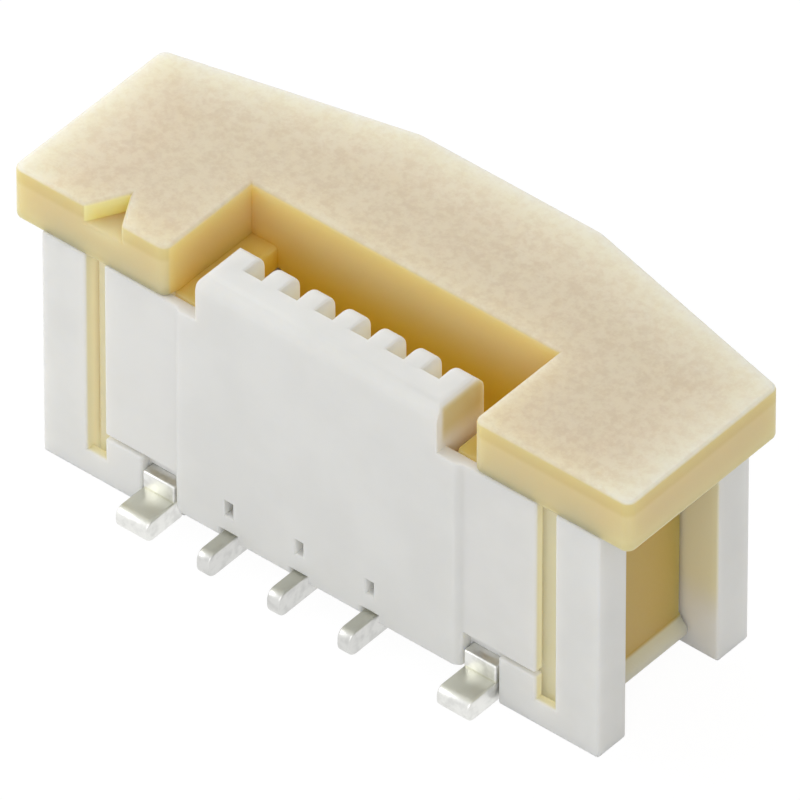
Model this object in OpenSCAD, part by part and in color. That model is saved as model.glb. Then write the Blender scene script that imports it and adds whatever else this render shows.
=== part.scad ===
// Upright flat-cable connector for a circuit board: a moulded housing, a row of
// stamped fork contacts, two soldered hold-downs and a slider that lifts to free
// the cable and presses down to clamp it.
//
// Lengths are in millimetres. The part is drawn in plain drawing coordinates,
// x along the row, y from the front face rearwards, z up from the board, and
// in_frame() then centres its depth over the origin.

/* [Contacts] */
// Number of contacts in the row
circuits = 6; // [4:2:12]
// Spacing of neighbouring contacts
pitch = 0.5; // [0.45:0.05:1]
// Thickness of the contact sheet
contact_t = 0.18; // [0.12:0.01:0.2]
// Height of a solder tail
tail_h = 0.33; // [0.28:0.01:0.4]
// Reach of a solder tail beyond the housing
tail_reach = 0.49; // [0.3:0.01:0.7]
// Round on a solder tail's tip
tail_r = 0.13; // [0.05:0.01:0.13]
// Clearance over a solder tail in the housing's wall
tail_gap = 0.02; // [0.01:0.01:0.04]
// Height of the bar that joins the two arms of a contact
bar_h = 0.3; // [0.22:0.01:0.35]
// Setting of the bar up from the housing's underside
bar_lift = 0.02; // [0.01:0.01:0.05]
// Width of a contact's spring arm at its root
arm_w = 0.18; // [0.14:0.01:0.2]
// Gap between the spring arm and the front of its groove
arm_gap = 0.06; // [0.03:0.01:0.1]
// Radius of the contact point at the head of the spring arm
point_r = 0.1; // [0.08:0.01:0.12]
// How far the contact point stands out into the cable slot
point_reach = 0.1; // [0.06:0.01:0.14]
// Height of the contact point above the board
point_z = 2.3; // [2.1:0.05:2.5]
// Height of the rear arm that backs the slider's tongue
back_arm_h = 2; // [1.6:0.05:2.2]
// Width of the rear arm
back_arm_w = 0.22; // [0.16:0.01:0.26]
// Setting of the rear arm behind the slot's rear face
back_arm_set = 0.02; // [0.01:0.01:0.05]
// Play of the rear arm behind it and above it
back_arm_play = 0.04; // [0.02:0.01:0.08]

/* [Cable slot] */
// Thickness of the flat cable
cable_t = 0.3; // [0.2:0.01:0.33]
// Play of the cable at each of its edges
cable_play = 0.05; // [0.02:0.01:0.08]
// Space left for the cable between the contact points and the pressed-down tongue
clamp_gap = 0.02; // [0.01:0.01:0.05]
// Depth of the slot's mouth, from the comb wall to the slider
mouth_d = 0.7; // [0.6:0.01:0.8]
// Height of the slot's floor above the board
slot_floor = 1; // [0.8:0.05:1.1]

/* [Housing] */
// Height of the shoulder that the slider closes onto
shoulder_h = 3.18; // [3:0.01:3.5]
// Height of the comb wall above the shoulder
comb_rise = 0.62; // [0.5:0.01:0.7]
// Thickness of the comb wall behind the front face
comb_t = 0.75; // [0.7:0.01:0.8]
// Width of the groove that each spring arm stands in
groove_w = 0.24; // [0.21:0.01:0.28]
// Depth of that groove
groove_d = 0.36; // [0.32:0.01:0.42]
// Width of the comb wall outside the last groove
ear_w = 0.33; // [0.25:0.01:0.36]
// Round on the comb wall's front edge
comb_front_r = 0.2; // [0.1:0.01:0.25]
// Round on the tips of the comb
comb_rear_r = 0.2; // [0.15:0.01:0.3]
// Round on the comb wall's outer corners
comb_end_r = 0.12; // [0.05:0.01:0.15]
// How far the middle of the front face stands proud of the side panels
pad_t = 0.05; // [0.02:0.01:0.08]
// Width of the slope at each side of that proud face
pad_slope = 0.08; // [0.05:0.01:0.2]
// Thickness of the wall behind the tongue
rear_wall = 0.76; // [0.7:0.01:1]
// Thickness of the wall between the cable slot and a leg of the slider
side_wall = 0.33; // [0.28:0.01:0.4]
// Length of a corner column along the row
column_l = 0.62; // [0.52:0.01:0.65]
// Depth of a front corner column
column_d = 0.48; // [0.44:0.01:0.55]
// Depth of a rear corner column
rear_column_d = 0.53; // [0.45:0.01:0.6]
// How far the slider's leg stands in from the end of the housing
end_recess = 0.5; // [0.4:0.01:0.5]
// Clear height of the housing's middle above the board
standoff = 0.25; // [0.15:0.01:0.26]
// Width of the window over each solder tail
window_w = 0.1; // [0.08:0.01:0.16]
// Height of that window
window_h = 0.2; // [0.15:0.01:0.3]
// Height of the window's sill above the tail
window_rise = 0.25; // [0.15:0.01:0.35]

/* [Side panels] */
// Thickness of a side panel
panel_t = 0.14; // [0.12:0.01:0.2]
// Width of the slit between a panel and its column
slit_w = 0.27; // [0.2:0.01:0.35]
// Height of the rail below the slit
rail_h = 0.35; // [0.3:0.01:0.5]
// Height of the gap below a panel
relief_h = 0.06; // [0.04:0.01:0.08]
// Height of that gap above a hold-down's shoulder
relief_rise = 0.15; // [0.1:0.01:0.2]
// Depth of the step at each end of the cable slot, below the shoulder
step_h = 0.35; // [0.2:0.01:0.5]

/* [Hold-downs] */
// Width of a hold-down
nail_w = 0.45; // [0.35:0.01:0.48]
// Thickness of its sheet
nail_t = 0.15; // [0.12:0.01:0.16]
// Height of its foot
nail_foot_h = 0.29; // [0.25:0.01:0.32]
// Round on the tip of its foot
nail_r = 0.12; // [0.05:0.01:0.12]
// Height of its shoulder above the board
nail_h = 0.52; // [0.45:0.01:0.52]
// Reach of its foot in front of the housing
nail_reach = 0.48; // [0.3:0.01:0.7]
// Length of the part held in the housing
nail_hold = 1; // [0.7:0.05:1.4]
// Clearance round it in its pocket
nail_gap = 0.025; // [0.01:0.005:0.04]
// Setting of its middle out from the side wall's face
nail_set = 0.15; // [0.1:0.01:0.2]
// Thickness of the ledge that covers its held part
ledge_t = 0.1; // [0.06:0.01:0.12]
// Width of that ledge beyond the pocket
ledge_w = 0.12; // [0.08:0.01:0.2]

/* [Slider] */
// Thickness of the top plate
plate_t = 0.72; // [0.7:0.01:0.9]
// Depth of the top plate at its ends
plate_d = 2.54; // [2.2:0.01:2.6]
// Round on the plate's upright corners
plate_r = 0.12; // [0.05:0.01:0.2]
// Overhang of the top plate past each end of the housing
plate_over = 0.41; // [0.2:0.01:0.6]
// How far the finger grip bulges rearwards
grip_d = 0.73; // [0.4:0.01:1]
// Length of the grip's straight edge
grip_l = 2.54; // [1.5:0.01:4]
// Round on the grip's corners
grip_r = 0.4; // [0.1:0.05:1]
// Thickness of the tongue's shank
tongue_t = 0.33; // [0.3:0.01:0.45]
// Height of the tongue's tip above the slot's floor
tongue_lift = 0.15; // [0.1:0.01:0.3]
// Height of the tongue's thick nose
nose_h = 1.2; // [1:0.05:1.3]
// Height of the slope above the nose
nose_slope = 0.4; // [0.2:0.01:0.5]
// Chamfer under the nose
nose_lead = 0.12; // [0.05:0.01:0.15]
// Length of a leg along the row
leg_l = 1.28; // [1.2:0.01:1.4]
// Wall of a leg
leg_wall = 0.38; // [0.3:0.01:0.42]
// Height of a leg's foot above the board
leg_lift = 0.22; // [0.1:0.01:0.3]
// How far the lug stands out at a leg's foot
lug_out = 0.12; // [0.06:0.01:0.2]
// Height of the lug's upright face
lug_face = 0.08; // [0.05:0.01:0.2]
// Height of the slope above it
lug_slope = 0.16; // [0.1:0.01:0.3]
// How far the barb of a leg stands out
barb_out = 0.12; // [0.08:0.01:0.14]
// Height of the barb
barb_h = 0.3; // [0.2:0.01:0.4]
// Height of the barb's square top
barb_face = 0.08; // [0.05:0.01:0.1]
// Height of the barb's foot above the board
barb_z = 1.2; // [0.9:0.05:1.3]
// Sliding clearance between the slider and the housing
slide_gap = 0.03; // [0.02:0.005:0.04]
// Lift of the slider from clamped to open
travel = 0.9; // [0.6:0.05:1]

/* [First-contact mark] */
// Width of the notch in the plate's front edge
mark_w = 0.53; // [0.3:0.01:0.6]
// Reach of the notch into the plate
mark_d = 0.47; // [0.3:0.01:0.6]
// Depth of the notch below the plate's top
mark_t = 0.25; // [0.1:0.01:0.4]
// Distance of the notch from the plate's end
mark_in = 1.29; // [1:0.01:1.4]

/* [Hidden] */
$fn = 48;

// Cutters run this far past the faces they open
over = 0.2;
// Joined shapes run this far into each other
lap = 0.1;

// Lengths along the row, from the middle
row_half = (circuits - 1) * pitch / 2;
cable_half = row_half + pitch;
slot_half = cable_half + cable_play;
block_half = slot_half + side_wall;
leg_in = block_half + slide_gap;
leg_out = leg_in + leg_l;
housing_half = leg_out + end_recess;
column_in = housing_half - column_l;
panel_out = column_in - slit_w;
comb_half = row_half + groove_w / 2 + ear_w;
nail_x = block_half + nail_set;
pocket_half = nail_w / 2 + nail_gap;
pocket_in = nail_x - pocket_half;
pad_half = pocket_in - pad_slope;
ledge_out = nail_x + pocket_half + ledge_w;
plate_half = housing_half + plate_over;

// Depths, from the front face
groove_front = comb_t - groove_d;
tongue_front = comb_t + mouth_d;
tongue_rear = tongue_front + tongue_t;
slot_rear = tongue_rear + slide_gap;
housing_d = slot_rear + rear_wall;
well_rear = housing_d - rear_column_d;
point_y = comb_t + point_reach;
nose_front = point_y + cable_t + clamp_gap;
arm_front = groove_front + arm_gap;
arm_rear = arm_front + arm_w;
back_arm_front = slot_rear + back_arm_set;
back_arm_rear = back_arm_front + back_arm_w;
back_slot_rear = back_arm_rear + back_arm_play;
leg_front = panel_t + slide_gap;
leg_rear = well_rear - slide_gap;

// Heights, from the board
bar_z = standoff + bar_lift;
bar_top = bar_z + bar_h;
comb_h = shoulder_h + comb_rise;
relief_z = nail_h + relief_rise;
pocket_top = relief_z + relief_h;
ledge_h = nail_h + ledge_t;
window_z = tail_h + window_rise;
tongue_z = slot_floor + tongue_lift;
nose_top = tongue_z + nose_h;
step_z = shoulder_h - step_h;
barb_top = barb_z + barb_h;

// Reaches of the whole part in depth, for its place over the origin
front_reach = max(tail_reach, nail_reach);
rear_reach = max(plate_d + grip_d, housing_d + tail_reach);

// Place of contact i along the row, counted from the left
function contact_x(i) = (i - 1) * pitch - row_half;
// Every other contact, from the first, has its tail at the front
function tail_in_front(i) = i % 2 == 1;
// Direction from one point to another, one unit long
function heading(from, to) = (to - from) / norm(to - from);

// Centres the drawing's depth over the origin
module in_frame() {
    translate([0, (front_reach - rear_reach) / 2, 0]) children();
}

// Draws its children at the right end and, mirrored, at the left end
module both_ends() {
    children();
    mirror([1, 0, 0]) children();
}

// Box between two corners
module box(low, high) {
    translate(low) cube(high - low);
}

// Side view (depth, height) drawn out along the row, centred on x = 0
module across(length) {
    rotate([90, 0, 90]) translate([0, 0, -length / 2]) linear_extrude(length) children();
}

// Front view (length, height) drawn out in depth, from y = from to y = to
module through(from, to) {
    translate([0, to, 0]) rotate([90, 0, 0]) linear_extrude(to - from) children();
}

// Cutter that leaves a round of radius r on the corner of an outline between
// its neighbouring corners before and after
module corner_round(before, corner, after, r) {
    u = heading(corner, before);
    v = heading(corner, after);
    reach = r / sin(acos(u * v) / 2);
    middle = corner + heading([0, 0], u + v) * reach;
    run = r / tan(acos(u * v) / 2);
    difference() {
        polygon([
            middle,
            middle + heading(middle, corner + u * run) * (r + over),
            middle + heading(middle, corner) * (reach + 2 * over),
            middle + heading(middle, corner + v * run) * (r + over)
        ]);
        translate(middle) circle(r);
    }
}

// ---- Housing -------------------------------------------------------------

// Side view of the comb wall, with its rounded front edge and tips
module comb_side() {
    difference() {
        translate([-pad_t, standoff]) square([comb_t + pad_t, comb_h - standoff]);
        corner_round([comb_t, 0], [comb_t, comb_h], [0, comb_h], comb_rear_r);
        corner_round([0, comb_h], [-pad_t, comb_h], [-pad_t, 0], comb_front_r);
    }
}

// Front view of the comb wall, with its rounded outer corners
module comb_front() {
    difference() {
        translate([-comb_half, standoff]) square([2 * comb_half, comb_h - standoff]);
        both_ends() corner_round([comb_half, 0], [comb_half, comb_h], [0, comb_h], comb_end_r);
    }
}

// Wall whose slots make the comb at the mouth of the cable slot
module comb_wall() {
    intersection() {
        across(2 * comb_half) comb_side();
        through(-pad_t, comb_t) comb_front();
    }
}

// Slightly proud middle of the front face, with sloped sides
module front_pad() {
    translate([0, 0, standoff]) linear_extrude(shoulder_h - standoff) polygon([
        [-pocket_in, 0], [-pad_half, -pad_t], [pad_half, -pad_t], [pocket_in, 0]
    ]);
}

// Well for a slider leg, open at the end of the housing between its columns
module leg_well() {
    box([block_half, panel_t, ledge_h], [column_in, well_rear, shoulder_h + over]);
    box([ledge_out, panel_t, -over], [column_in, well_rear, shoulder_h + over]);
    box([ledge_out, column_d, -over], [housing_half + over, well_rear, shoulder_h + over]);
}

// Slit and gap that free the side panel from its column and rail
module panel_slits() {
    box([panel_out, -over, rail_h], [column_in, panel_t + over, shoulder_h + over]);
    box([pocket_in, -over, relief_z], [panel_out + over, panel_t + slide_gap, pocket_top]);
}

// Pocket for a hold-down, with the slot that grips its shelf
module nail_pocket() {
    box([pocket_in, -over, -over], [nail_x + pocket_half, panel_t, pocket_top]);
    box([nail_x - nail_w / 2, panel_t - over, nail_h - nail_t],
        [nail_x + nail_w / 2, panel_t + nail_hold, nail_h]);
}

// Blind slot in the side of the block, in which the leg's barb travels
module barb_slot() {
    box([leg_in - barb_out - 2 * slide_gap, leg_front - slide_gap, barb_z - slide_gap],
        [block_half + over, leg_front + leg_wall + slide_gap, barb_top + travel + slide_gap]);
}

// Step at the end of the cable slot, which the slider's cheek closes
module cheek_step() {
    box([comb_half, panel_t, step_z], [block_half + over, slot_rear, shoulder_h + over]);
}

// Slots of one contact: groove, bar, rear arm, and the window and notch at its tail
module contact_slots(i) {
    front = tail_in_front(i);
    near = front ? -over : back_slot_rear - over;
    far = front ? groove_front + over : housing_d + over;
    translate([contact_x(i), 0, 0]) {
        box([-groove_w / 2, groove_front, bar_z], [groove_w / 2, comb_t + over, comb_h + over]);
        box([-contact_t / 2, groove_front, -over], [contact_t / 2, back_slot_rear, bar_top]);
        box([-groove_w / 2, slot_rear - over, bar_z],
            [groove_w / 2, back_slot_rear, back_arm_h + back_arm_play]);
        box([-groove_w / 2, near, -over], [groove_w / 2, far, tail_h + tail_gap]);
        box([-window_w / 2, near, window_z], [window_w / 2, far, window_z + window_h]);
    }
}

module housing() {
    color("whitesmoke") in_frame() difference() {
        union() {
            box([-housing_half, 0, 0], [housing_half, housing_d, shoulder_h]);
            front_pad();
            comb_wall();
        }
        box([-slot_half, comb_t, slot_floor], [slot_half, slot_rear, comb_h + over]);
        box([-pocket_in, -over, -over], [pocket_in, housing_d + over, standoff]);
        both_ends() {
            leg_well();
            panel_slits();
            nail_pocket();
            barb_slot();
            cheek_step();
        }
        for (i = [1 : circuits]) contact_slots(i);
    }
}

// ---- Slider --------------------------------------------------------------

// Top view of the plate: two wings round the cable slot and a bulged rear grip
module plate_top() {
    grip_half = grip_l / 2;
    grip_y = plate_d + grip_d;
    difference() {
        polygon([
            [-plate_half, 0], [-leg_in, 0], [-leg_in, tongue_front],
            [leg_in, tongue_front], [leg_in, 0], [plate_half, 0],
            [plate_half, plate_d], [grip_half, grip_y],
            [-grip_half, grip_y], [-plate_half, plate_d]
        ]);
        both_ends() {
            corner_round([leg_in, plate_d], [leg_in, 0], [plate_half, 0], plate_r);
            corner_round([leg_in, 0], [plate_half, 0], [plate_half, plate_d], plate_r);
            corner_round([plate_half, 0], [plate_half, plate_d], [grip_half, grip_y], plate_r);
            corner_round([plate_half, plate_d], [grip_half, grip_y], [-grip_half, grip_y], grip_r);
        }
    }
}

// Notch in the front edge of the left wing, over the first contact's end
module first_contact_mark() {
    middle = -plate_half + mark_in;
    translate([middle, 0, shoulder_h + plate_t - mark_t]) linear_extrude(mark_t + over) polygon([
        [-mark_w / 2, -over], [mark_w / 2, -over], [mark_w / 2, 0], [0, mark_d], [-mark_w / 2, 0]
    ]);
}

// Side view of the tongue: a shank, a slope and the nose that clamps the cable
module tongue_side() {
    polygon([
        [tongue_front, shoulder_h + lap], [tongue_front, nose_top + nose_slope],
        [nose_front, nose_top], [nose_front, tongue_z + nose_lead],
        [nose_front + nose_lead, tongue_z], [tongue_rear, tongue_z],
        [tongue_rear, shoulder_h + lap]
    ]);
}

// Cheek that joins the tongue to a leg and closes the end of the cable slot
module cheek() {
    box([slot_half, leg_front, step_z + slide_gap], [leg_in + lap, tongue_rear, shoulder_h]);
    box([slot_half - slide_gap - lap, tongue_front, step_z + slide_gap],
        [leg_in + lap, tongue_rear, shoulder_h + lap]);
}

// Leg: a channel open to the inside, stepped to clear the column and the ledge
module leg() {
    difference() {
        union() {
            box([leg_in, leg_front, leg_lift], [column_in - slide_gap, leg_rear, shoulder_h + lap]);
            box([column_in - over, column_d + slide_gap, leg_lift],
                [leg_out, leg_rear, shoulder_h + lap]);
        }
        box([leg_in - over, leg_front + leg_wall, -over],
            [leg_out - leg_wall, leg_rear - leg_wall, shoulder_h]);
        box([leg_in - over, -over, -over],
            [ledge_out + slide_gap, housing_d, ledge_h + slide_gap]);
    }
}

// Ledge across the foot of a leg's outer face
module lug() {
    through(column_d + slide_gap, leg_rear) polygon([
        [leg_out - lap, leg_lift], [leg_out + lug_out, leg_lift],
        [leg_out + lug_out, leg_lift + lug_face],
        [leg_out, leg_lift + lug_face + lug_slope],
        [leg_out - lap, leg_lift + lug_face + lug_slope]
    ]);
}

// Barb that catches under the top of its slot when the slider is fully lifted
module barb() {
    through(leg_front, leg_front + leg_wall) polygon([
        [leg_in + lap, barb_z], [leg_in, barb_z],
        [leg_in - barb_out, barb_top - barb_face], [leg_in - barb_out, barb_top],
        [leg_in + lap, barb_top]
    ]);
}

module slider() {
    color([0.87, 0.8, 0.68]) in_frame() {
        difference() {
            translate([0, 0, shoulder_h]) linear_extrude(plate_t) plate_top();
            first_contact_mark();
        }
        across(2 * (slot_half - slide_gap)) tongue_side();
        both_ends() {
            cheek();
            leg();
            lug();
            barb();
        }
    }
}

// ---- Contacts ------------------------------------------------------------

// Side view of a bar from y = 0 to y = length on the board, rounded at its far end
module tip_side(length, height, r) {
    difference() {
        square([length, height]);
        corner_round([0, 0], [length, 0], [length, height], r);
        corner_round([length, 0], [length, height], [0, height], r);
    }
}

// Side view of the fork: joining bar, spring arm with its point, and rear arm
module fork_side() {
    head_y = point_y - point_r;
    back_r = back_arm_w / 2;
    translate([arm_front, bar_z]) square([back_arm_rear - arm_front, bar_h]);
    polygon([
        [arm_front, bar_z], [arm_rear, bar_z],
        [head_y, point_z], [head_y - point_r, point_z]
    ]);
    translate([head_y, point_z]) circle(point_r);
    translate([back_arm_front, bar_z]) square([back_arm_w, back_arm_h - back_r - bar_z]);
    translate([back_arm_front + back_r, back_arm_h - back_r]) circle(back_r);
}

// Side view of one contact, with its tail at the front or at the rear
module contact_side(front) {
    fork_side();
    if (front) translate([arm_rear, 0]) mirror([1, 0])
        tip_side(arm_rear + tail_reach, tail_h, tail_r);
    else translate([back_arm_front, 0])
        tip_side(housing_d + tail_reach - back_arm_front, tail_h, tail_r);
}

module contact(i) {
    color("silver") in_frame() translate([contact_x(i), 0, 0]) across(contact_t)
        contact_side(tail_in_front(i));
}

// ---- Hold-downs ----------------------------------------------------------

// Side view of a hold-down: a foot on the board, a riser and a shelf
module nail_side() {
    translate([panel_t, 0]) mirror([1, 0]) tip_side(panel_t + nail_reach, nail_foot_h, nail_r);
    translate([panel_t - nail_t, 0]) square([nail_t, nail_h]);
    translate([panel_t - nail_t, nail_h - nail_t]) square([nail_t + nail_hold, nail_t]);
}

module hold_down() {
    color("silver") in_frame() translate([nail_x, 0, 0]) across(nail_w) nail_side();
}

housing();
slider();
for (i = [1 : circuits]) contact(i);
mirror([1, 0, 0]) hold_down();  // hold_down_left
hold_down();  // hold_down_right
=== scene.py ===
"""Looks of an upright board connector for a flat cable: moulded plastics, stamped metal and a plain stage.

Lengths are in metres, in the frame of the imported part: +X along the row of contacts, +Y to the rear,
+Z up from the board.
"""

import math

import bmesh
import bpy
import numpy as np
from bpy.props import FloatProperty, FloatVectorProperty, IntProperty, PointerProperty
from mathutils import Matrix, Vector


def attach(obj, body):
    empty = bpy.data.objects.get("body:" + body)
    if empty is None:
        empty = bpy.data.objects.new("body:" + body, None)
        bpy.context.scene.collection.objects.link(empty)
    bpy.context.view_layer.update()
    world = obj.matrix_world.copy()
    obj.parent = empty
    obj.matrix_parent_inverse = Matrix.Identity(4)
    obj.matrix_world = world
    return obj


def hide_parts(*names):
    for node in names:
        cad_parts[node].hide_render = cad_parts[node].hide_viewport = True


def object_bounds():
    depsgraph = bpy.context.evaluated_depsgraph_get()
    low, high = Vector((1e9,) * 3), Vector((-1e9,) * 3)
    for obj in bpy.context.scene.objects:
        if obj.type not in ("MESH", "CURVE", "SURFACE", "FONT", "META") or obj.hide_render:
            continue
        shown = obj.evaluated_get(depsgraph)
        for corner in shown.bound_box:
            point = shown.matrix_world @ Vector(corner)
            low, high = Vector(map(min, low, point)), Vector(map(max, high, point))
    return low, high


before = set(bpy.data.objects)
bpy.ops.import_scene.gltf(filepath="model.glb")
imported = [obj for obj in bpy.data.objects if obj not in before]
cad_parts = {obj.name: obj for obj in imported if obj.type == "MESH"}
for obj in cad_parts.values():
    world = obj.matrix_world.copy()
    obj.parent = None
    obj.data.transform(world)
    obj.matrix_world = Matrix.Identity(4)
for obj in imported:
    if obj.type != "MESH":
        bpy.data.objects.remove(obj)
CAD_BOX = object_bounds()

bl_info = {
    "name": "Flat cable connector",
    "version": (1, 0, 0),
    "blender": (4, 5, 0),
    "location": "3D View > Sidebar > Connector",
    "description": "Dresses the packed connector: rounded mouldings, plated metal and a studio stage",
    "category": "Object",
}

MM = 0.001

# Places on the slider that its colours follow
PLATE_END, PLATE_REAR, PLATE_TOP = (float(x) for x in CAD_BOX[1])
PLATE_FRONT = -1.39 * MM
PLATE_FOOT = 3.18 * MM
WING_REAR = 1.15 * MM
GRIP_HALF = 1.27 * MM
SLOT_HALF = 2.16 * MM
SLOT_BACK = 0.06 * MM
MARK_MIDDLE = -3.06 * MM
MARK_HALF = 0.265 * MM
MARK_BACK = -0.92 * MM
MARK_FOOT = 3.65 * MM
LUG_TOP = 0.42 * MM
LEG_FRONT = -1.22 * MM

# Places on the housing where amber bounce light from the slider is painted into the colour and painted glow
# into the emission, and the heights between which that painted light comes up on the rear columns
COMB_END = 1.70 * MM
COMB_TOP = 3.80 * MM
GROOVES_END = 1.58 * MM
GROOVE_FRONT = -1.00 * MM
SLIT_IN = 3.05 * MM
SLIT_OUT = 3.32 * MM
WELL_REAR = 0.65 * MM
WELL_FRONT = -0.91 * MM
TINT_FOOT = 0.5 * MM
TINT_TOP = 1.2 * MM

# Tops of the contacts' tails and of the hold-downs' feet, where the plating's painted reflection band lies
TAIL_TOP = 0.33 * MM
FOOT_TOP = 0.29 * MM

# Width over which one colour gives way to the next
BLEND = 0.02 * MM

BLACK = (0.0, 0.0, 0.0)
WHITE = (1.0, 1.0, 1.0)

# Shares of a colour that stay in the resin's clouds and in the plating's worn spots, and in the plating's
# painted reflection, a darker, yellower band at the top of the metal that stands in for the housing mirrored
# there; and how much denser the sheet's rolling marks are across than along it
CLOUD_SHADE = (0.965, 0.965, 0.965)
WORN_SHADE = (0.85, 0.85, 0.85)
PAINTED_REFLECTION = (0.80, 0.80, 0.73)
ROLLING = (8.0, 1.0, 8.0)

# Merging and rounding: two points or two faces that are one, the least bend of a corner that gets a
# round and of a corner that is split, the share of a face's room that a round takes, the least share of
# the full round that is worth having, and how far inward a neighbour has to lean to limit a round
MERGE_DISTANCE = 1e-4 * MM
FLAT_BEND = math.radians(1)
CORNER_BEND = math.radians(35)
SPLIT_BEND = math.radians(38)
ROOM_SHARE = 0.9
LEAST_SHARE = 0.1
INWARD_LEAN = 0.5

# Floor: its grid, its colour to the light, and its colour and brightness to the eye
FLOOR_RINGS = 6
FLOOR_SPOKES = 48
FLOOR_MATT = (0.8, 0.8, 0.8)
FLOOR_SHADE = (0.07, 0.07, 0.07)
FLOOR_GLOW = 0.955

# Lamps: place, side and brightness of the face, all turned to one point of the part
LAMP_AIM = (0.0, 0.0, 2 * MM)
LAMPS = {
    "key_softbox": ((-20 * MM, -15 * MM, 14 * MM), 15 * MM, 2.3),
    "rear_softbox": ((-30 * MM, 30 * MM, 34 * MM), 33 * MM, 2.0),
    "fill_softbox": ((34 * MM, -42 * MM, 32 * MM), 38 * MM, 1.5),
}

# Camera: width of its sensor in millimetres, and the nearest and farthest that it sees, in metres
SENSOR_WIDTH = 36.0
CAMERA_CLIP = (0.01, 10.0)


# ---- Shader maths ----------------------------------------------------------


class Signal:
    """An output socket that takes part in arithmetic: each operation adds one Math node."""

    def __init__(self, finish, socket):
        self.finish = finish
        self.socket = socket

    def __add__(self, other):
        return self.finish.math("ADD", self, other)

    def __radd__(self, other):
        return self.finish.math("ADD", other, self)

    def __sub__(self, other):
        return self.finish.math("SUBTRACT", self, other)

    def __rsub__(self, other):
        return self.finish.math("SUBTRACT", other, self)

    def __mul__(self, other):
        return self.finish.math("MULTIPLY", self, other)

    def __rmul__(self, other):
        return self.finish.math("MULTIPLY", other, self)


class Finish:
    """The node tree of a material or of the surroundings, built node by node."""

    def __init__(self, owner):
        owner.use_nodes = True
        self.owner = owner
        self.tree = owner.node_tree
        self.tree.nodes.clear()

    def node(self, kind, settings=None, sockets=None, output=0):
        """Adds a node of that kind, sets its settings first and then its sockets' values or links."""
        made = self.tree.nodes.new(kind)
        for name, value in (settings or {}).items():
            setattr(made, name, value)
        for name, value in (sockets or {}).items():
            if isinstance(value, Signal):
                self.tree.links.new(value.socket, made.inputs[name])
            else:
                made.inputs[name].default_value = value
        return Signal(self, made.outputs[output]) if made.outputs else None

    def math(self, operation, *operands):
        """One Math node on these numbers and signals."""
        return self.node("ShaderNodeMath", {"operation": operation}, dict(enumerate(operands)))

    def point(self):
        """Place on the piece, in metres."""
        return self.node("ShaderNodeTexCoord", output="Object")

    def axes(self, point):
        """The three coordinates of a point."""
        parts = self.node("ShaderNodeSeparateXYZ", {}, {"Vector": point})
        return tuple(Signal(self, socket) for socket in parts.socket.node.outputs)

    def noise(self, point, size, detail, roughness=0.5):
        """Value noise from 0 to 1 whose features are about that size, in metres."""
        return self.node(
            "ShaderNodeTexNoise",
            {"noise_dimensions": "3D"},
            {"Vector": point, "Scale": 1 / size, "Detail": detail, "Roughness": roughness},
        )

    def rise(self, value, low, high):
        """0 below low, 1 above high and a smooth rise from one to the other."""
        return self.node(
            "ShaderNodeMapRange",
            {"interpolation_type": "SMOOTHSTEP"},
            {"Value": value, "From Min": low, "From Max": high},
        )

    def below(self, value, limit, blend=BLEND):
        """1 where the value is below the limit, 0 from a blend above it."""
        return 1.0 - self.rise(value, limit, limit + blend)

    def mix(self, factor, first, second):
        """Colour from first to second, where second has the share that factor gives."""
        return self.node(
            "ShaderNodeMix",
            {"data_type": "RGBA"},
            {0: factor, 6: opaque(first), 7: opaque(second)},
            output=2,
        )

    def bump(self, height, depth):
        """Normal of a surface whose height goes from 0 to depth, in metres."""
        return self.node("ShaderNodeBump", {}, {"Height": height, "Distance": depth, "Strength": 1.0})

    def surface(self, sockets):
        """Ends a material in one Principled shader with these socket values and links."""
        shader = self.node("ShaderNodeBsdfPrincipled", {}, sockets)
        return self.ends_in("ShaderNodeOutputMaterial", shader)

    def seen(self):
        """1 where the eye looks straight on, in a mirror or through glass, and 0 for the light."""
        rays = [
            self.node("ShaderNodeLightPath", output=ray)
            for ray in ("Is Camera Ray", "Is Glossy Ray", "Is Transmission Ray")
        ]
        return self.math("MAXIMUM", rays[0], self.math("MAXIMUM", rays[1], rays[2]))

    def ends_in(self, kind, surface):
        """Ends the tree in an output node of that kind and gives back what owns the tree."""
        self.node(kind, {}, {"Surface": surface})
        return self.owner


def opaque(colour):
    """A colour of three numbers with a full alpha; links pass unchanged."""
    return colour if isinstance(colour, Signal) else (*colour, 1.0)


def times(shares, colour):
    """A colour of which each channel keeps its share."""
    return tuple(share * channel for share, channel in zip(shares, colour))


# ---- Settings --------------------------------------------------------------


def colour_property(name, description, default):
    return FloatVectorProperty(
        name=name, description=description, subtype="COLOR", size=3, min=0, max=1, default=default
    )


def length_property(name, description, default, top=5 * MM):
    return FloatProperty(
        name=name,
        description=description,
        subtype="DISTANCE",
        unit="LENGTH",
        min=0,
        max=top,
        precision=6,
        default=default,
    )


def angle_property(name, description, degrees):
    return FloatProperty(name=name, description=description, subtype="ANGLE", default=math.radians(degrees))


class ConnectorEdges(bpy.types.PropertyGroup):
    """Edge rounds of the mouldings and the stampings."""

    housing_round: length_property("Housing round", "Round on the housing's edges", 0.035 * MM, MM)
    slider_round: length_property("Slider round", "Round on the slider's edges", 0.05 * MM, MM)
    metal_round: length_property("Metal round", "Round on the stamped metal's edges", 0.025 * MM, MM)
    steps: IntProperty(name="Steps", description="Faces across each round", min=1, max=6, default=3)


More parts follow.
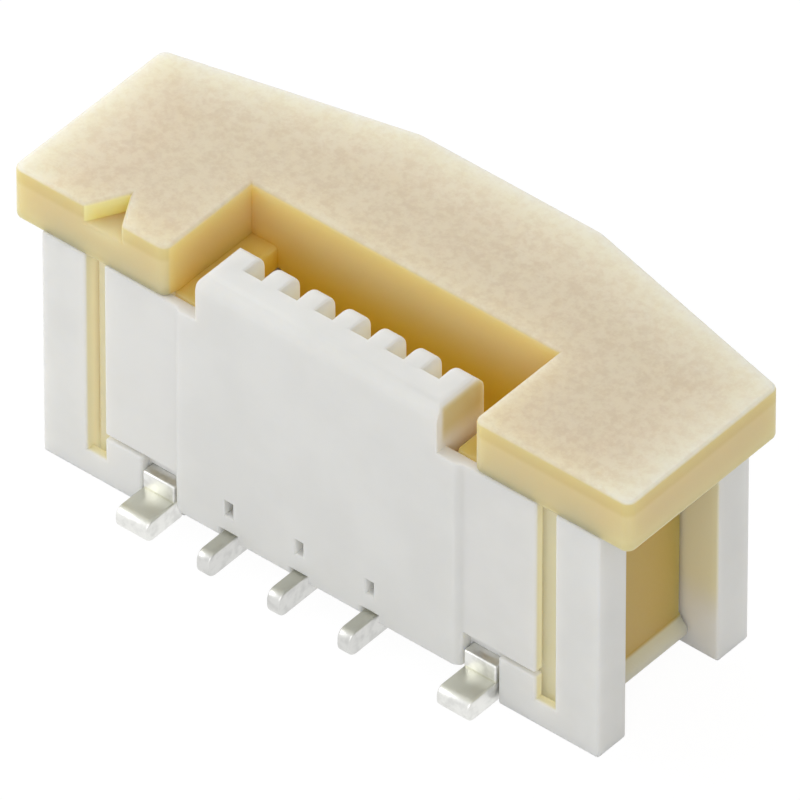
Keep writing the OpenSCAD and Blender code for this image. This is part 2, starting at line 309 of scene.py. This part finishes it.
class ConnectorColours(bpy.types.PropertyGroup):
    """Colours of the plastics and the plating, and of the painted light and shade on them."""

    housing: colour_property("Housing", "White resin of the housing", (0.80, 0.80, 0.775))
    # Painted light: amber bounce from the slider, painted into the slits' walls and the rear columns' fronts
    slit_amber_bounce: colour_property("Slits", "White resin in amber light, at the slits", (0.80, 0.76, 0.55))
    # Painted light: amber bounce from the slider, painted onto the comb's ends
    comb_amber_bounce: colour_property("Comb's ends", "White resin in amber light, at its ends", (0.66, 0.58, 0.33))
    # Painted glow: emission standing in for light passing through the white resin at the slits and in the
    # comb's grooves
    slit_glow: colour_property("Slits' glow", "Light that the white resin passes on", (0.22, 0.21, 0.14))
    skin_middle: colour_property("Skin, middle", "Pale tan skin on top of the plate", (0.72, 0.625, 0.445))
    skin_rim: colour_property("Skin, rim", "Cream skin along the plate's outline", (0.79, 0.745, 0.60))
    skin_flecks: colour_property("Skin, flecks", "Soft flecks in the skin", (0.62, 0.495, 0.33))
    side: colour_property("Side", "Amber resin at the plate's sides", (0.70, 0.575, 0.30))
    # Painted shade along the top and bottom edges of the plate's sides
    side_edge_shade: colour_property("Side, edge lines", "Deeper lines along the sides' edges", (0.60, 0.47, 0.18))
    # Painted shade and amber bounce in the cable slot, deeper towards its floor
    slot_shade_deep: colour_property("Slot, deep", "Deep amber low in the cable slot", (0.86, 0.53, 0.06))
    slot_shade_high: colour_property("Slot, high", "Amber high in the cable slot", (0.80, 0.61, 0.26))
    # Painted glow: emission standing in for light passing through the amber resin low in the cable slot
    slot_glow: colour_property("Slot's glow", "Light that the amber resin passes on", (0.11, 0.048, 0.0))
    mark: colour_property("Mark", "Resin in the mark", (0.82, 0.72, 0.33))
    # Amber resin darkened with painted shade below the plate
    leg_in_shade: colour_property("Legs", "Resin of the legs", (0.61, 0.41, 0.09))
    # Painted light: a brighter copy of the legs' resin where it shows in the slits
    lit_leg_front: colour_property("Legs' fronts", "Resin that shows in the slits", (0.86, 0.76, 0.48))
    # Painted glow: emission at the legs' fronts in the slits
    leg_glow: colour_property("Legs' glow", "Light that the resin passes to the slits", (0.11, 0.095, 0.065))
    lug: colour_property("Lugs", "Resin of the lugs at the legs' feet", (0.80, 0.68, 0.46))
    contact: colour_property("Contacts", "Plating of the contacts", (0.68, 0.68, 0.66))
    hold_down: colour_property("Hold-downs", "Plating of the hold-downs", (0.82, 0.82, 0.79))


class ConnectorTextures(bpy.types.PropertyGroup):
    """Sizes of what varies over the plastics and the plating."""

    housing_clouds: length_property("Housing clouds", "Faint clouds in the white resin", 0.9 * MM)
    housing_skin: length_property("Housing skin", "Eroded skin of the white resin", 0.02 * MM)
    housing_relief: length_property("Housing relief", "Depth of the eroded skin", 0.0008 * MM)
    housing_scatter: length_property("Housing scatter", "Reach of light in the white resin", 0.22 * MM)
    slider_clouds: length_property("Slider clouds", "Clouds in the skin on the plate", 0.6 * MM)
    slider_flecks: length_property("Slider flecks", "Flecks in the skin on the plate", 0.11 * MM)
    slider_rim: length_property("Slider rim", "Width over which the skin pales to its outline", 1.0 * MM)
    slider_grain: length_property("Slider grain", "Grain of the amber resin", 0.03 * MM)
    slider_relief: length_property("Slider relief", "Depth of the grain", 0.0015 * MM)
    slider_scatter: length_property("Slider scatter", "Reach of light in the amber resin", 1.0 * MM)
    rolling_marks: length_property("Rolling marks", "Marks along the stamped sheet", 0.2 * MM)
    rolling_relief: length_property("Rolling relief", "Depth of the rolling marks", 0.001 * MM)
    plating_clouds: length_property("Plating clouds", "Clouds in the plating", 0.12 * MM)


class ConnectorStage(bpy.types.PropertyGroup):
    """Camera, surroundings and floor."""

    azimuth: angle_property("Azimuth", "Camera's turn round the part", 39.818)
    elevation: angle_property("Elevation", "Camera's height angle", 41.451)
    roll: angle_property("Roll", "Camera's turn about its own axis", 0.03)
    distance: length_property("Distance", "Camera's distance from the part", 298.24 * MM, 2.0)
    lens: FloatProperty(name="Lens", description="Focal length in millimetres", min=1, default=1235.05)
    aim: FloatVectorProperty(
        name="Aim",
        description="Point that the camera aims at",
        subtype="TRANSLATION",
        unit="LENGTH",
        precision=6,
        default=(0.041 * MM, -0.062 * MM, 2.082 * MM),
    )
    ambient: FloatProperty(name="Ambient", description="Brightness of the surroundings", min=0, default=0.6)
    floor_radius: length_property("Floor radius", "Radius of the floor disc", 250 * MM, 2.0)


# ---- Pieces ----------------------------------------------------------------


def room(edge, face):
    """Radius of the largest circle in the face that touches the edge, as far as the other sides allow."""
    low, high = (v.co for v in edge.verts)
    loop = next(loop for loop in face.loops if loop.edge is edge)
    inward = face.normal.cross(loop.link_loop_next.vert.co - loop.vert.co).normalized()
    radius = math.inf
    for other in face.edges:
        if other is edge:
            continue
        start, end = (v.co for v in other.verts)
        if set(other.verts) & set(edge.verts):
            turn = abs((end - start).normalized().dot(inward))
            if turn > INWARD_LEAN:
                radius = min(radius, turn * (end - start).length / 2)
            continue
        steps = [v - nearest(v, low, high) for v in (start, end)]
        steps += [nearest(v, start, end) - v for v in (low, high)]
        for step in steps:
            depth = step.dot(inward)
            if depth > 0:
                radius = min(radius, step.length_squared / (2 * depth))
    return radius


def nearest(point, start, end):
    """Point of the line from start to end that is nearest to a point."""
    share = (point - start).dot(end - start) / (end - start).length_squared
    return start.lerp(end, min(max(share, 0), 1))


def rounded_copy(node, radius, steps):
    """A copy of a CAD node with its outer edges rounded.

    The loose triangles are merged into whole flat faces. Each sharp outer edge gets a bevel weight, which
    is the share of the radius that its faces have room for; where there is next to no room, and where two
    curved surfaces meet, it stays sharp. What is sharp afterwards is split, so that flat faces shade flat.
    """
    solid = bmesh.new()
    solid.from_mesh(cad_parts[node].data)
    bmesh.ops.remove_doubles(solid, verts=solid.verts, dist=MERGE_DISTANCE)
    bmesh.ops.dissolve_limit(solid, angle_limit=FLAT_BEND, verts=solid.verts, edges=solid.edges)
    weights = solid.edges.layers.float.new("bevel_weight_edge")
    bend = {edge: edge.calc_face_angle_signed() for edge in solid.edges}
    curved = {
        face for edge in solid.edges if FLAT_BEND < abs(bend[edge]) <= CORNER_BEND for face in edge.link_faces
    }
    for edge in solid.edges:
        if bend[edge] > CORNER_BEND and not curved.issuperset(edge.link_faces):
            share = min(1.0, ROOM_SHARE * min(room(edge, face) for face in edge.link_faces) / radius)
            edge[weights] = share if share >= LEAST_SHARE else 0.0
        edge.smooth = abs(bend[edge]) <= CORNER_BEND or edge[weights] > 0
    for face in solid.faces:
        face.smooth = True
    mesh = bpy.data.meshes.new(node + "_look")
    solid.to_mesh(mesh)
    solid.free()
    piece = bpy.data.objects.new(node + "_look", mesh)
    bpy.context.scene.collection.objects.link(piece)
    bevel = piece.modifiers.new("edge_rounds", "BEVEL")
    bevel.limit_method = "WEIGHT"
    bevel.width = radius
    bevel.segments = steps
    bevel.use_clamp_overlap = False
    split = piece.modifiers.new("sharp_edges", "EDGE_SPLIT")
    split.split_angle = SPLIT_BEND
    level = piece.modifiers.new("flat_faces", "WEIGHTED_NORMAL")
    level.keep_sharp = True
    return piece


def dress(node, body, material, radius, steps):
    """Puts the rounded, finished copy of a CAD node in its place."""
    piece = rounded_copy(node, radius, steps)
    piece.data.materials.clear()
    piece.data.materials.append(material)
    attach(piece, body)
    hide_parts(node)


# ---- Finishes --------------------------------------------------------------


def housing_resin(colours, textures):
    """Matt white moulding resin: faint clouds in the colour and a very fine eroded skin.

    The slits' walls, the rear columns' fronts and the comb's ends are tinted with painted amber bounce light
    from the slider beside them, and painted glow stands in for a little light coming through at the slits and
    in the comb's grooves.
    """
    finish = Finish(bpy.data.materials.new("housing_resin"))
    point = finish.point()
    along, depth, height = finish.axes(point)
    across = finish.math("ABSOLUTE", along)
    clouds = finish.noise(point, textures.housing_clouds, 3.0)
    skin = finish.noise(point, textures.housing_skin, 2.0)
    white = finish.mix(finish.rise(clouds, 0.35, 0.65), colours.housing, times(CLOUD_SHADE, colours.housing))

    # Painted amber bounce light from the slider, in the slits and on the rear columns' fronts
    slit = finish.rise(across, SLIT_IN - BLEND, SLIT_IN) * finish.below(across, SLIT_OUT)
    slit = slit * finish.below(depth, WELL_FRONT)
    slit = slit * finish.rise(depth, PLATE_FRONT + 0.01 * MM, PLATE_FRONT + 0.05 * MM)
    column = finish.rise(across, SLIT_OUT, SLIT_OUT + BLEND) * finish.rise(height, TINT_FOOT, TINT_TOP)
    column = column * finish.rise(depth, WELL_FRONT, WELL_FRONT + BLEND) * finish.below(depth, WELL_REAR)
    # Painted amber bounce light on the comb's ends
    ends = finish.rise(across, COMB_END - 0.035 * MM, COMB_END) * finish.below(across, SLOT_HALF - BLEND)
    ends = ends * finish.rise(height, PLATE_FOOT, PLATE_FOOT + 0.3 * MM)
    ends = ends * finish.rise(depth, PLATE_FRONT + BLEND, PLATE_FRONT + 0.1 * MM)
    amber_lit = finish.mix(finish.math("MAXIMUM", slit, column), white, colours.slit_amber_bounce)

    # Painted glow in the slits and, at half strength, in the comb's grooves
    lit_slit = slit * finish.rise(depth, PLATE_FRONT + 0.03 * MM, PLATE_FRONT + 0.2 * MM)
    groove = finish.below(across, GROOVES_END) * finish.rise(depth, GROOVE_FRONT - BLEND, GROOVE_FRONT)
    groove = groove * finish.rise(height, PLATE_FOOT, PLATE_FOOT + 0.1 * MM)
    groove = groove * finish.below(height, COMB_TOP - 0.2 * MM, 0.2 * MM)
    return finish.surface(
        {
            "Base Color": finish.mix(ends, amber_lit, colours.comb_amber_bounce),
            "Roughness": 0.5 + 0.12 * skin,
            "Normal": finish.bump(skin, textures.housing_relief),
            "Subsurface Weight": 0.8,
            "Subsurface Radius": (1.0, 0.95, 0.85),
            "Subsurface Scale": textures.housing_scatter,
            "IOR": 1.5,
            "Emission Color": finish.mix(lit_slit + 0.5 * groove, BLACK, colours.slit_glow),
            "Emission Strength": 1.0,
        }
    )


def slider_resin(colours, textures):
    """Unfilled amber resin that lets some light through.

    The top of the plate has a mottled skin, paler along the outline. The resin is amber at the plate's sides,
    with painted shade along their top and bottom edges. Painted shade makes it a deeper amber where it faces
    the cable slot and on the legs below the plate, and the mark is a deeper amber too; painted glow and a
    painted brighter copy of the resin stand in for light low in the slot and at the legs' fronts in the
    slits.
    """
    finish = Finish(bpy.data.materials.new("slider_resin"))
    point = finish.point()
    along, depth, height = finish.axes(point)
    across = finish.math("ABSOLUTE", along)
    clouds = finish.noise(point, textures.slider_clouds, 4.0, 0.6)
    flecks = finish.rise(finish.noise(point, textures.slider_flecks, 4.0, 0.65), 0.36, 0.68)
    grain = finish.noise(point, textures.slider_grain, 2.0)

    # Distance inwards from the plate's ends, its rear edge and the slants between them
    run, climb = PLATE_END - GRIP_HALF, PLATE_REAR - WING_REAR
    slant = math.hypot(run, climb)
    slanted = (PLATE_END - across) * (climb / slant) + (WING_REAR - depth) * (run / slant)
    inset = finish.math("MINIMUM", slanted, PLATE_REAR - depth)
    inset = finish.math("MINIMUM", inset, PLATE_END - across)
    rim = finish.below(inset, 0.0, textures.slider_rim)
    skin = finish.mix(0.9 * rim + 0.5 * (clouds - 0.5), colours.skin_middle, colours.skin_rim)
    skin = finish.mix(flecks * (0.6 - 0.35 * rim), skin, colours.skin_flecks)

    # Painted shade along the top and bottom edges of the plate's sides
    lines = finish.math(
        "MAXIMUM",
        finish.rise(height, PLATE_TOP - 0.24 * MM, PLATE_TOP - 0.16 * MM),
        finish.below(height, PLATE_FOOT + 0.04 * MM, 0.12 * MM),
    )
    side = finish.mix(0.6 * lines, colours.side, colours.side_edge_shade)
    under = finish.below(height, PLATE_FOOT - BLEND)
    # Painted light at the legs' fronts in the slits: a brighter colour and a painted glow
    fronts = under * finish.below(depth, LEG_FRONT)
    # The legs' resin in painted shade, paler at the lugs
    legs = finish.mix(finish.below(height, LUG_TOP, 2 * BLEND), colours.leg_in_shade, colours.lug)
    legs = finish.mix(fronts, legs, colours.lit_leg_front)
    # Painted shade in the cable slot: a deeper amber towards its floor, with painted glow low down
    slot = finish.below(across, SLOT_HALF) * finish.below(depth, SLOT_BACK)
    sunk_shade = finish.below(height, PLATE_TOP - 1.1 * MM, 0.8 * MM)
    mark = finish.below(finish.math("ABSOLUTE", along - MARK_MIDDLE), MARK_HALF)
    mark = mark * finish.below(depth, MARK_BACK) * finish.rise(height, MARK_FOOT, MARK_FOOT + BLEND)
    mark = mark * finish.rise(depth, PLATE_FRONT + 0.005 * MM, PLATE_FRONT + 0.02 * MM)

    body = finish.mix(under, side, legs)
    body = finish.mix(slot, body, finish.mix(sunk_shade, colours.slot_shade_high, colours.slot_shade_deep))
    body = finish.mix(mark, body, colours.mark)
    top = finish.rise(height, PLATE_TOP - 0.04 * MM, PLATE_TOP - 0.008 * MM)
    glow = finish.mix(slot * sunk_shade, BLACK, colours.slot_glow)
    return finish.surface(
        {
            "Base Color": finish.mix(top, body, skin),
            "Roughness": 0.42 + 0.14 * grain,
            "Normal": finish.bump(grain, textures.slider_relief),
            "Subsurface Weight": 1.0,
            "Subsurface Radius": (1.0, 0.85, 0.6),
            "Subsurface Scale": textures.slider_scatter,
            "IOR": 1.52,
            "Emission Color": finish.mix(fronts, glow, colours.leg_glow),
            "Emission Strength": 1.0,
        }
    )


def plating(name, colour, top, textures):
    """Tin plating on stamped sheet: soft rolling marks, cloudy roughness and a painted reflection at that
    height, a darker, yellower band standing in for the housing mirrored in the metal.
    """
    finish = Finish(bpy.data.materials.new(name))
    point = finish.point()
    height = finish.axes(point)[2]
    rolled = finish.node("ShaderNodeMapping", {"vector_type": "POINT"}, {"Vector": point, "Scale": ROLLING})
    marks = finish.noise(rolled, textures.rolling_marks, 3.0)
    clouds = finish.noise(point, textures.plating_clouds, 2.0)
    # Painted reflection: a darker, yellower band at the top of the tails and feet, standing in for the
    # housing mirrored there
    mirrored_band = finish.rise(height, top - 0.035 * MM, top - 0.005 * MM) * finish.below(height, top + 0.01 * MM)
    bright = finish.mix(finish.rise(clouds, 0.4, 0.75), colour, times(WORN_SHADE, colour))
    return finish.surface(
        {
            "Base Color": finish.mix(mirrored_band, bright, times(PAINTED_REFLECTION, colour)),
            "Metallic": 1.0,
            "Roughness": 0.32 + 0.1 * marks,
            "Normal": finish.bump(marks, textures.rolling_relief),
        }
    )


# ---- Stage -----------------------------------------------------------------


def disc(radius, rings, spokes):
    """Points and faces of a flat disc.

    The point at share s and turn t lies at radius * s * (cos t, sin t), and one point closes the middle.
    """
    share, turn = np.meshgrid(
        np.linspace(0, 1, rings + 1)[1:], np.linspace(0, 2 * np.pi, spokes, endpoint=False), indexing="ij"
    )
    rim = np.stack([radius * share * np.cos(turn), radius * share * np.sin(turn), 0 * turn], -1)
    points = np.vstack([[[0, 0, 0]], rim.reshape(-1, 3)])
    spoke = np.arange(spokes)
    after = (spoke + 1) % spokes
    middle = np.stack([0 * spoke, 1 + spoke, 1 + after], -1)
    inner = 1 + spokes * np.arange(rings - 1)[:, None]
    bands = np.stack([inner + spoke, inner + spokes + spoke, inner + spokes + after, inner + after], -1)
    return points, middle.tolist() + bands.reshape(-1, 4).tolist()


def floor_paint():
    """Pale floor: plain matt to the light, near white to the eye, with the part's shadow kept faint."""
    finish = Finish(bpy.data.materials.new("floor_paint"))
    matt = finish.node("ShaderNodeBsdfDiffuse", {}, {"Color": opaque(FLOOR_MATT)})
    thin = finish.node("ShaderNodeBsdfDiffuse", {}, {"Color": opaque(FLOOR_SHADE)})
    glow = finish.node("ShaderNodeEmission", {}, {"Color": opaque(WHITE), "Strength": FLOOR_GLOW})
    white = finish.node("ShaderNodeAddShader", {}, {0: thin, 1: glow})
    mixed = finish.node("ShaderNodeMixShader", {}, {0: finish.seen(), 1: matt, 2: white})
    return finish.ends_in("ShaderNodeOutputMaterial", mixed)


def surroundings(strength):
    """Even grey light from all round, white to the eye and in reflections."""
    finish = Finish(bpy.data.worlds.new("surroundings"))
    light = finish.node("ShaderNodeBackground", {}, {"Color": opaque(WHITE), "Strength": strength})
    white = finish.node("ShaderNodeBackground", {}, {"Color": opaque(WHITE), "Strength": 1.0})
    mixed = finish.node("ShaderNodeMixShader", {}, {0: finish.seen(), 1: light, 2: white})
    return finish.ends_in("ShaderNodeOutputWorld", mixed)


def softbox(name, place, side, radiance):
    """Square lamp whose face has that brightness, turned to the middle of the part."""
    lamp = bpy.data.lights.new(name, "AREA")
    lamp.shape = "SQUARE"
    lamp.size = side
    lamp.energy = radiance * math.pi * side * side
    holder = bpy.data.objects.new(name, lamp)
    bpy.context.scene.collection.objects.link(holder)
    holder.location = place
    holder.rotation_mode = "QUATERNION"
    holder.rotation_quaternion = (Vector(LAMP_AIM) - Vector(place)).to_track_quat("-Z", "Y")


def aimed_camera(stage):
    """Camera at the stage's angles and distance, with its axis through the aim."""
    camera = bpy.data.cameras.new("camera")
    camera.lens = stage.lens
    camera.sensor_width = SENSOR_WIDTH
    camera.clip_start, camera.clip_end = CAMERA_CLIP
    holder = bpy.data.objects.new("camera", camera)
    bpy.context.scene.collection.objects.link(holder)
    side = Vector((math.cos(stage.azimuth), math.sin(stage.azimuth), 0))
    level = Vector((math.sin(stage.azimuth), -math.cos(stage.azimuth), 0))
    back = level * math.cos(stage.elevation) + Vector((0, 0, math.sin(stage.elevation)))
    up = back.cross(side)
    rolled_side = side * math.cos(stage.roll) + up * math.sin(stage.roll)
    rolled_up = up * math.cos(stage.roll) - side * math.sin(stage.roll)
    turn = Matrix((rolled_side, rolled_up, back)).transposed().to_4x4()
    holder.matrix_world = Matrix.Translation(Vector(stage.aim) + back * stage.distance) @ turn
    return holder


# ---- Operators -------------------------------------------------------------


class CONNECTOR_OT_housing(bpy.types.Operator):
    """Finish the housing in white resin with fine edge rounds"""

    bl_idname = "connector.housing"
    bl_label = "Housing"

    def execute(self, context):
        scene = context.scene
        edges = scene.connector_edges
        material = housing_resin(scene.connector_colours, scene.connector_textures)
        dress("housing", "root", material, edges.housing_round, edges.steps)
        return {"FINISHED"}


class CONNECTOR_OT_slider(bpy.types.Operator):
    """Finish the slider in natural resin with soft edge rounds"""

    bl_idname = "connector.slider"
    bl_label = "Slider"

    def execute(self, context):
        scene = context.scene
        edges = scene.connector_edges
        material = slider_resin(scene.connector_colours, scene.connector_textures)
        dress("slider", "slider", material, edges.slider_round, edges.steps)
        return {"FINISHED"}


class CONNECTOR_OT_contacts(bpy.types.Operator):
    """Plate the row of contacts"""

    bl_idname = "connector.contacts"
    bl_label = "Contacts"

    def execute(self, context):
        scene = context.scene
        edges = scene.connector_edges
        colour = scene.connector_colours.contact
        material = plating("contact_plating", colour, TAIL_TOP, scene.connector_textures)
        for node in sorted(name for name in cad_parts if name.startswith("contact_")):
            dress(node, "root", material, edges.metal_round, edges.steps)
        return {"FINISHED"}


class CONNECTOR_OT_hold_downs(bpy.types.Operator):
    """Plate the two hold-downs"""

    bl_idname = "connector.hold_downs"
    bl_label = "Hold-downs"

    def execute(self, context):
        scene = context.scene
        edges = scene.connector_edges
        colour = scene.connector_colours.hold_down
        material = plating("hold_down_plating", colour, FOOT_TOP, scene.connector_textures)
        for side in ("left", "right"):
            dress("hold_down_" + side, "root", material, edges.metal_round, edges.steps)
        return {"FINISHED"}


class CONNECTOR_OT_stage(bpy.types.Operator):
    """Set up the floor, the lamps and the camera"""

    bl_idname = "connector.stage"
    bl_label = "Stage"

    def execute(self, context):
        scene = context.scene
        stage = scene.connector_stage
        points, faces = disc(stage.floor_radius, FLOOR_RINGS, FLOOR_SPOKES)
        mesh = bpy.data.meshes.new("floor")
        mesh.from_pydata(points.tolist(), [], faces)
        mesh.materials.append(floor_paint())
        floor = bpy.data.objects.new("floor", mesh)
        scene.collection.objects.link(floor)
        scene.world = surroundings(stage.ambient)
        for name, (place, side, radiance) in LAMPS.items():
            softbox(name, place, side, radiance)
        scene.camera = aimed_camera(stage)
        scene.view_settings.view_transform = "Standard"
        return {"FINISHED"}


class CONNECTOR_PT_sidebar(bpy.types.Panel):
    """Sidebar panel with the connector's settings and steps."""

    bl_label = "Connector"
    bl_space_type = "VIEW_3D"
    bl_region_type = "UI"
    bl_category = "Connector"

    def draw(self, context):
        for name, group in GROUPS.items():
            box = self.layout.box()
            for setting in group.__annotations__:
                box.prop(getattr(context.scene, name), setting)
        for step in STEPS:
            self.layout.operator(step.bl_idname)


GROUPS = {
    "connector_edges": ConnectorEdges,
    "connector_colours": ConnectorColours,
    "connector_textures": ConnectorTextures,
    "connector_stage": ConnectorStage,
}
STEPS = (
    CONNECTOR_OT_housing,
    CONNECTOR_OT_slider,
    CONNECTOR_OT_contacts,
    CONNECTOR_OT_hold_downs,
    CONNECTOR_OT_stage,
)


def register():
    """Registers the classes and hangs the settings on the scene."""
    for group in (*GROUPS.values(), *STEPS, CONNECTOR_PT_sidebar):
        bpy.utils.register_class(group)
    for name, group in GROUPS.items():
        setattr(bpy.types.Scene, name, PointerProperty(type=group))


def unregister():
    """Takes the settings off the scene and the classes out of Blender."""
    for name in GROUPS:
        delattr(bpy.types.Scene, name)
    for group in (CONNECTOR_PT_sidebar, *reversed(STEPS), *reversed(GROUPS.values())):
        bpy.utils.unregister_class(group)


def main():
    """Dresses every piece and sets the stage."""
    register()
    bpy.ops.connector.housing()
    bpy.ops.connector.slider()
    bpy.ops.connector.contacts()
    bpy.ops.connector.hold_downs()
    bpy.ops.connector.stage()


if __name__ == "__main__":
    main()
